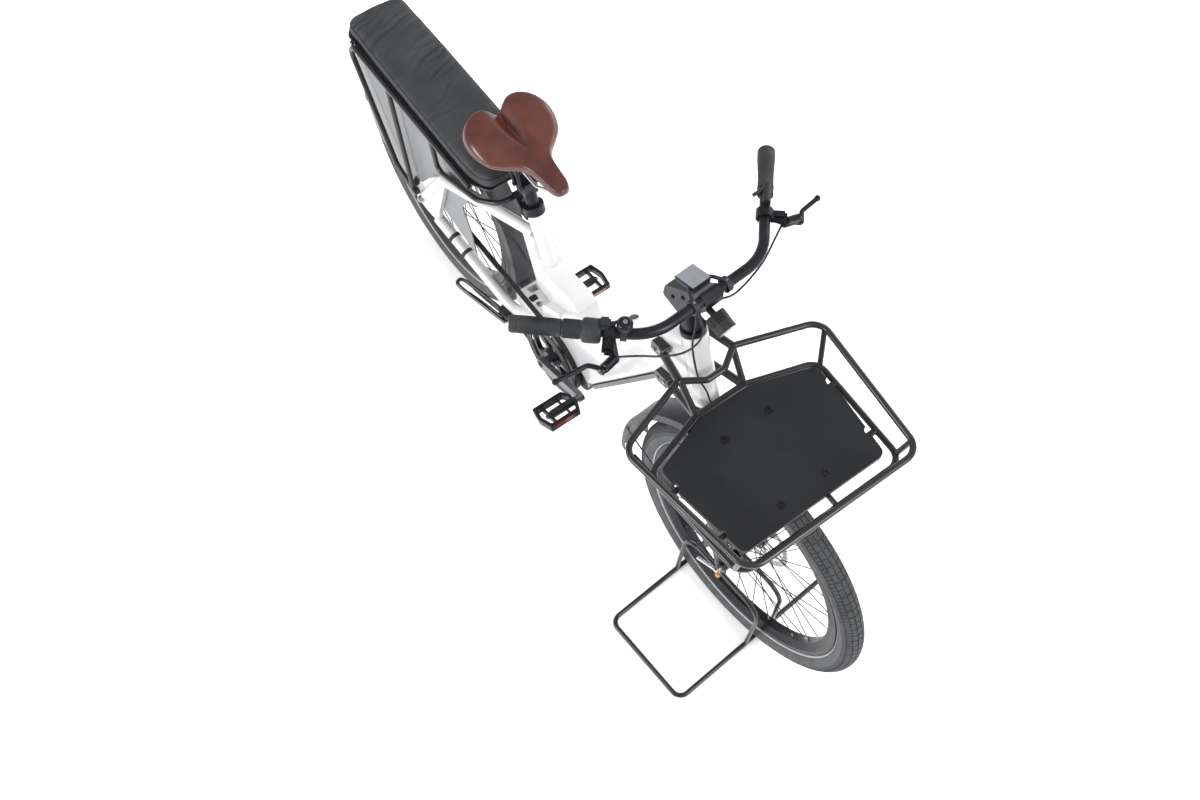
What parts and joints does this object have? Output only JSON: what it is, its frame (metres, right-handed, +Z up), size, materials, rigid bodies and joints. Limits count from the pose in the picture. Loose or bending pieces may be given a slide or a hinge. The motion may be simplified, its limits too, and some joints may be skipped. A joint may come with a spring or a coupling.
{
  "type": "electric bicycle",
  "caption": "Long-tail electric bicycle with a front basket carrier, cushioned rear carrier, sprung fork and seatpost, belt drive, mudguards, standing in a front wheel stand.",
  "frame": {"origin": "on the floor, in the middle of the bounding box of the whole object", "axes": "+X forward, +Y to the rider's left, +Z up"},
  "size_m": [1.9589, 0.6954, 1.1289],
  "materials": {
    "bare_aluminium": "satin",
    "black_aluminium": "satin",
    "black_fabric": "matte",
    "black_plastic": "matte",
    "black_satin_paint": "satin",
    "board_face": "matte",
    "brown_leather": "satin",
    "grey_metal": "satin",
    "grey_plastic": "matte",
    "grip_rubber": "matte",
    "red_lens": "gloss",
    "screen_glass": "gloss",
    "steel": "satin",
    "tyre_rubber": "matte",
    "white_gloss_paint": "gloss"
  },
  "bodies": {
    "frame": {"frame": "white_gloss_paint", "motor": "black_plastic", "headset": "black_aluminium", "battery_cover": "grey_metal", "rear_axle": "steel", "belt_guard": "black_plastic", "belt": "grip_rubber", "seat_clamp": "black_aluminium", "seatpost": "black_aluminium", "saddle_rails": "steel", "saddle": "brown_leather", "rear_carrier": "black_satin_paint", "carrier_deck": "black_satin_paint", "carrier_cushion": "black_fabric", "rear_mudguard": "grey_plastic", "side_panels": "grey_plastic", "rear_light": "red_lens", "footboards": "black_plastic", "front_carrier": "black_satin_paint", "carrier_board": "board_face", "rear_brake_caliper": "black_aluminium", "charge_port_cover": "black_plastic", "rear_cables": "grip_rubber", "straps": "grip_rubber"},
    "steering": {"fork": "black_aluminium", "fork_lowers": "black_satin_paint", "front_axle": "bare_aluminium", "stem": "black_aluminium", "handlebar": "black_aluminium", "grips": "grip_rubber", "twist_shifter": "grip_rubber", "brake_levers": "black_aluminium", "left_remote": "black_plastic", "bell": "black_plastic", "display": "screen_glass", "headlight": "black_plastic", "front_mudguard": "black_plastic", "front_brake_caliper": "black_aluminium", "wheel_stand": "black_satin_paint", "front_hoses": "grip_rubber"},
    "front_wheel": {"front_tyre": "tyre_rubber", "front_rim": "black_aluminium", "front_spokes": "steel", "front_wheel_hub": "black_aluminium", "front_disc": "steel"},
    "rear_wheel": {"rear_tyre": "tyre_rubber", "rear_rim": "black_aluminium", "rear_spokes": "steel", "rear_wheel_hub": "black_aluminium", "rear_disc": "steel", "rear_sprocket": "steel"},
    "crankset": {"crankset": "black_aluminium", "front_pulley": "black_aluminium"},
    "right_pedal": {"right_pedal": "black_plastic"},
    "left_pedal": {"left_pedal": "black_plastic"}
  },
  "joints": [
    {"name": "steering", "type": "hinge", "parent": "frame", "child": "steering", "pos_m": [0.41387, -0.0025, 0.76], "axis": [-0.3665, 0, 0.9304], "range_deg": [-64.2, 55.8]},
    {"name": "front_wheel_spin", "type": "hinge", "parent": "steering", "child": "front_wheel", "pos_m": [0.6282, 0.00117, 0.35195], "axis": [-0.0681, 0.9973, -0.0268], "continuous": true},
    {"name": "rear_wheel_spin", "type": "hinge", "parent": "frame", "child": "rear_wheel", "pos_m": [-0.61767, -0.0025, 0.352], "axis": [0, 1, 0], "continuous": true},
    {"name": "crank_spin", "type": "hinge", "parent": "frame", "child": "crankset", "pos_m": [-0.05067, -0.0025, 0.314], "axis": [0, 1, 0], "continuous": true},
    {"name": "right_pedal_spin", "type": "hinge", "parent": "crankset", "child": "right_pedal", "pos_m": [0.10593, -0.1645, 0.38015], "axis": [0, 1, 0], "continuous": true},
    {"name": "left_pedal_spin", "type": "hinge", "parent": "crankset", "child": "left_pedal", "pos_m": [-0.20727, 0.1595, 0.24785], "axis": [0, 1, 0], "continuous": true}
  ]
}
